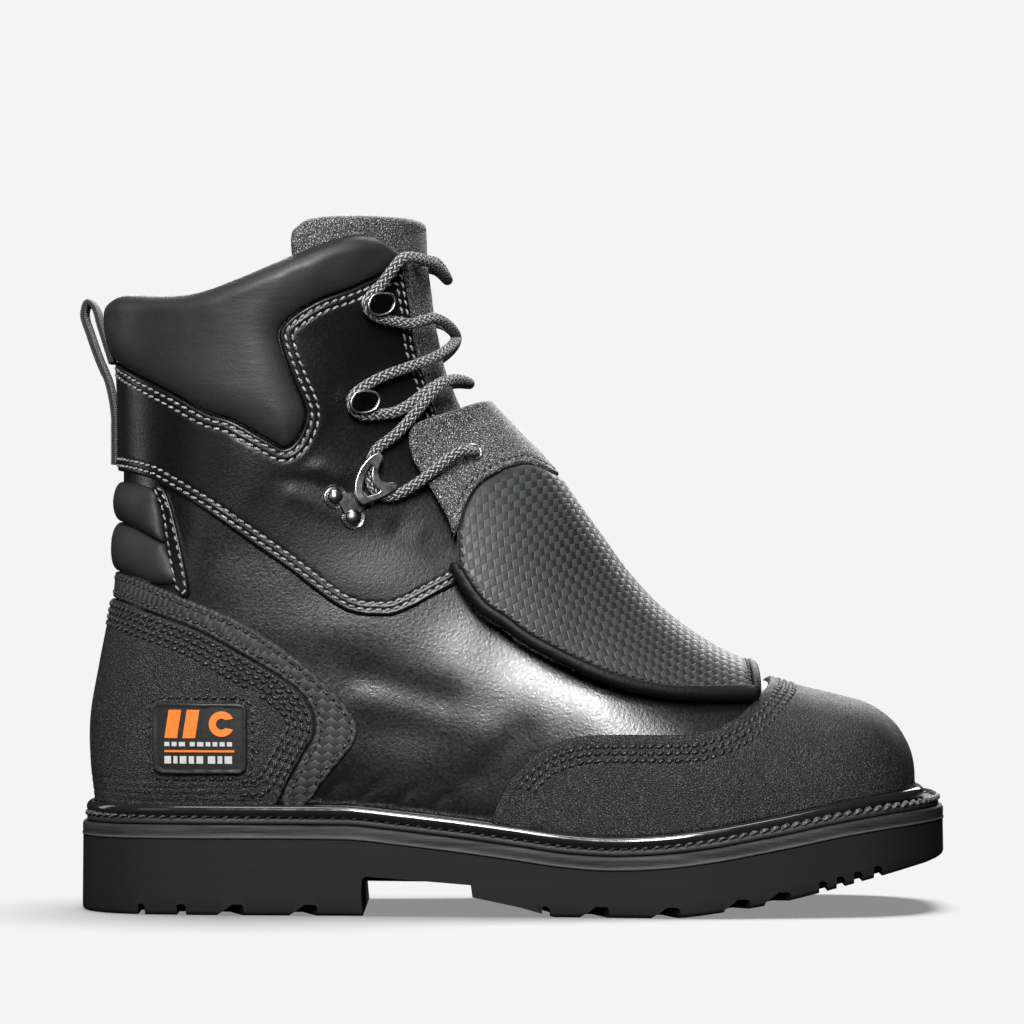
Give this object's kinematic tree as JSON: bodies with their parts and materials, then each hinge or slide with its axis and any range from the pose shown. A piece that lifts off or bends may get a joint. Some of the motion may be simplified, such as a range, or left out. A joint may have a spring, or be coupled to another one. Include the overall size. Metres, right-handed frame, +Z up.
{
  "type": "metatarsal guard work boot",
  "caption": "Right black leather lace-up work boot with padded collar, outside instep guard, rough toe cap and heel counter, and a welted rubber sole.",
  "frame": {"origin": "on the floor under the middle of the heel tread", "axes": "+X from heel to toe, +Z up the shaft, -Y to the outer side of the foot"},
  "size_m": [0.3182, 0.1149, 0.253],
  "materials": {
    "smooth_leather": "waxed full grain, soft gloss",
    "rough_leather": "coarse pebbled abrasion leather, matt",
    "pad_leather": "soft padded leather, satin",
    "woven_leather": "embossed basket weave, satin",
    "lining": "brushed mesh lining",
    "sole_rubber": "moulded, ground edge",
    "midsole_rubber": "brushed edge",
    "rand_gloss": "polished bead",
    "webbing": "woven tape",
    "hook_metal": "dark nickel, polished",
    "lace_cord": "round braid, black with grey flecks",
    "badge_plate": "moulded, satin"
  },
  "bodies": {
    "root": {"outsole": "sole_rubber", "midsole": "midsole_rubber", "welt": "midsole_rubber", "rand": "rand_gloss", "insole": "lining", "upper": "smooth_leather", "heel_counter": "rough_leather", "counter_trim": "woven_leather", "toe_cap": "rough_leather", "collar": "pad_leather", "quarter_outer": "smooth_leather", "quarter_inner": "smooth_leather", "achilles_pad_upper": "pad_leather", "achilles_pad_lower": "pad_leather", "vamp_fold_outer": "smooth_leather", "vamp_fold_inner": "smooth_leather", "tongue": "rough_leather", "guard_shield": "woven_leather", "guard_rim": "smooth_leather", "guard_tab": "rough_leather", "badge": "badge_plate", "pull_loop": "webbing", "hook_top_outer": "hook_metal", "hook_mid_outer": "hook_metal", "lock_hook_outer": "hook_metal", "eyelet_outer": "hook_metal", "hook_top_inner": "hook_metal", "hook_mid_inner": "hook_metal", "lock_hook_inner": "hook_metal", "eyelet_inner": "hook_metal", "lace": "lace_cord"}
  },
  "joints": []
}
